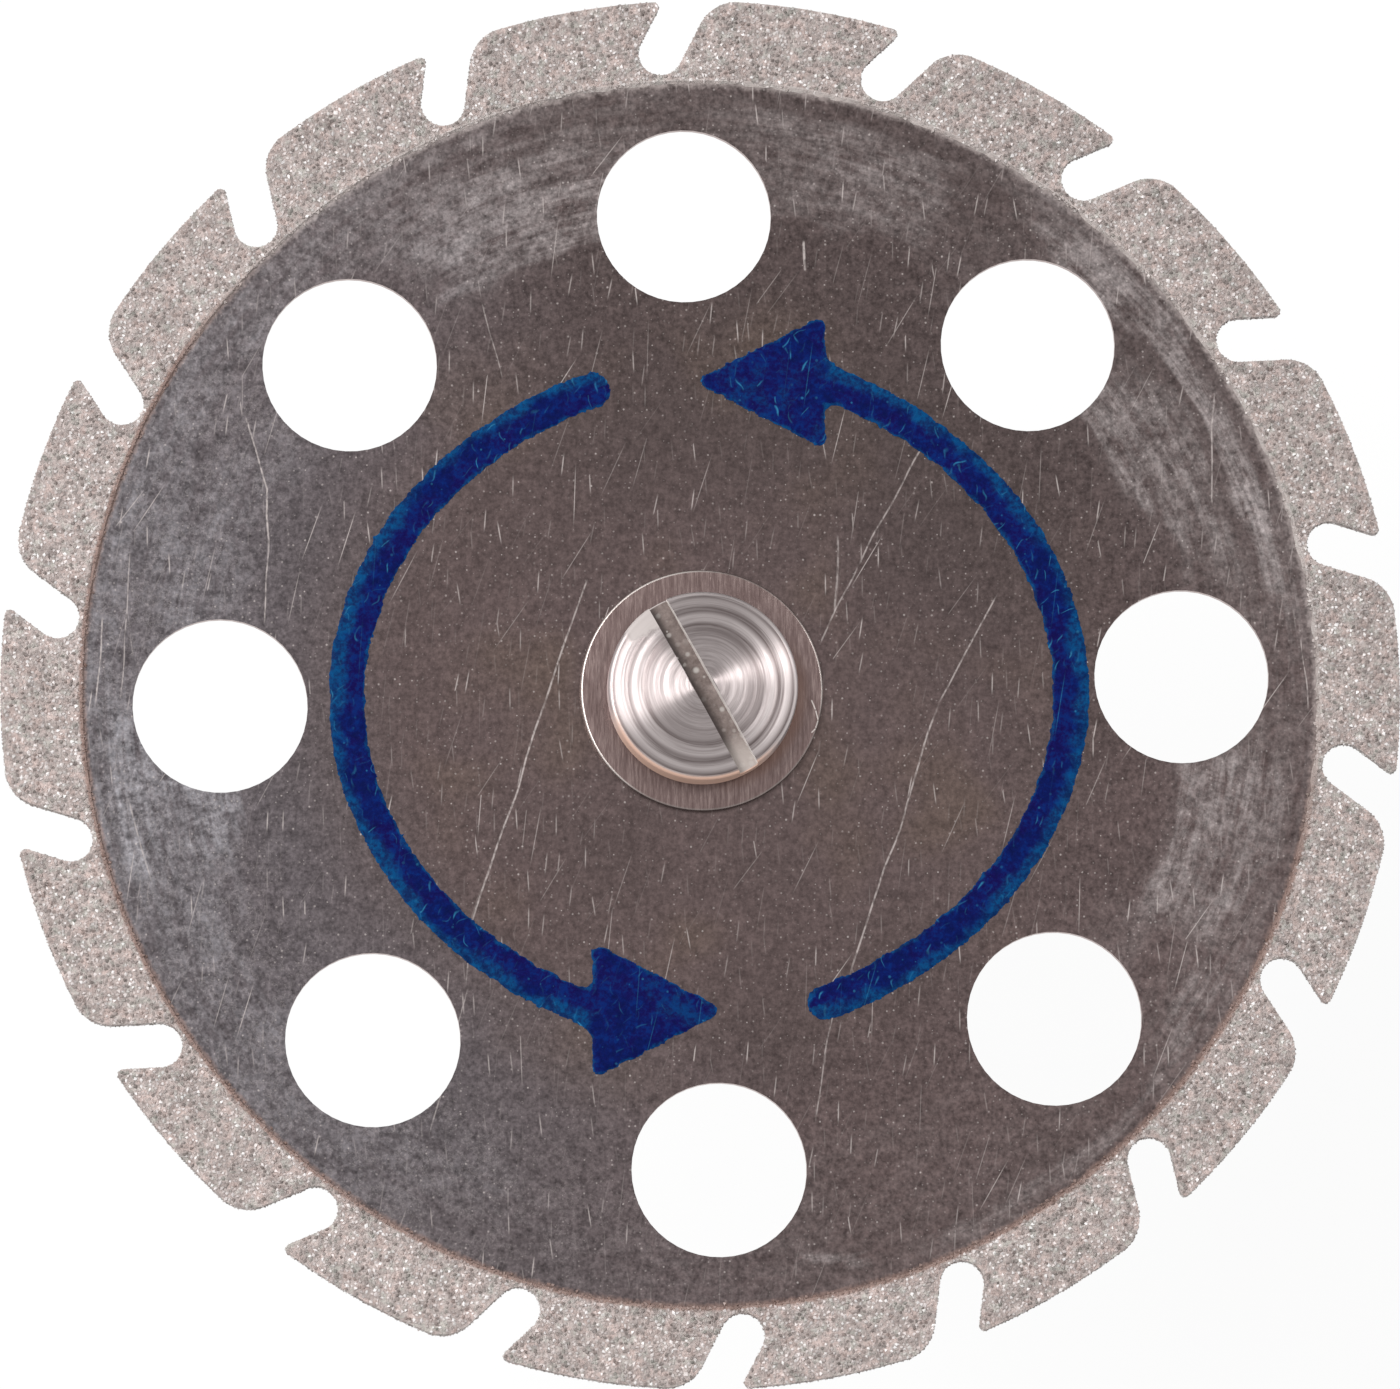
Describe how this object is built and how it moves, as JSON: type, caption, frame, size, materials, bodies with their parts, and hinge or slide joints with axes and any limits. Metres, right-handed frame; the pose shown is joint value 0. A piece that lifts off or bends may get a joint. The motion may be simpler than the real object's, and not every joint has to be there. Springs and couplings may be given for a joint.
{
  "type": "dental cutting disc",
  "caption": "Thin toothed steel disc with a diamond-coated rim, round viewing holes and printed rotation arrows, clamped by a slotted screw and washer to a straight-shank mandrel.",
  "frame": {"origin": "on the axis of rotation, where the cylinder of the shank begins at its free end, 0.3 mm in from the end face", "axes": "+Z along the axis of rotation, from the shank's free end to the front face with the screw's head; +X to the right and +Y up as the front face is seen in the picture"},
  "size_m": [0.045, 0.045, 0.0449],
  "materials": {
    "blade_steel": "rolled spring steel, darkened, finely scratched and smeared",
    "diamond_grit": "fine sparkling diamond grit in plated nickel",
    "blue_ink": "printed dark blue ink, slightly ragged and scratched",
    "washer_steel": "fine straight brushing",
    "screw_steel": "bright turned steel with concentric tool marks",
    "mandrel_steel": "turned and ground stainless steel"
  },
  "bodies": {
    "root": {"blade": "blade_steel", "diamond_coating": "diamond_grit", "rotation_arrows": "blue_ink", "clamp_washer": "washer_steel", "clamp_screw": "screw_steel", "mandrel": "mandrel_steel"}
  },
  "joints": []
}
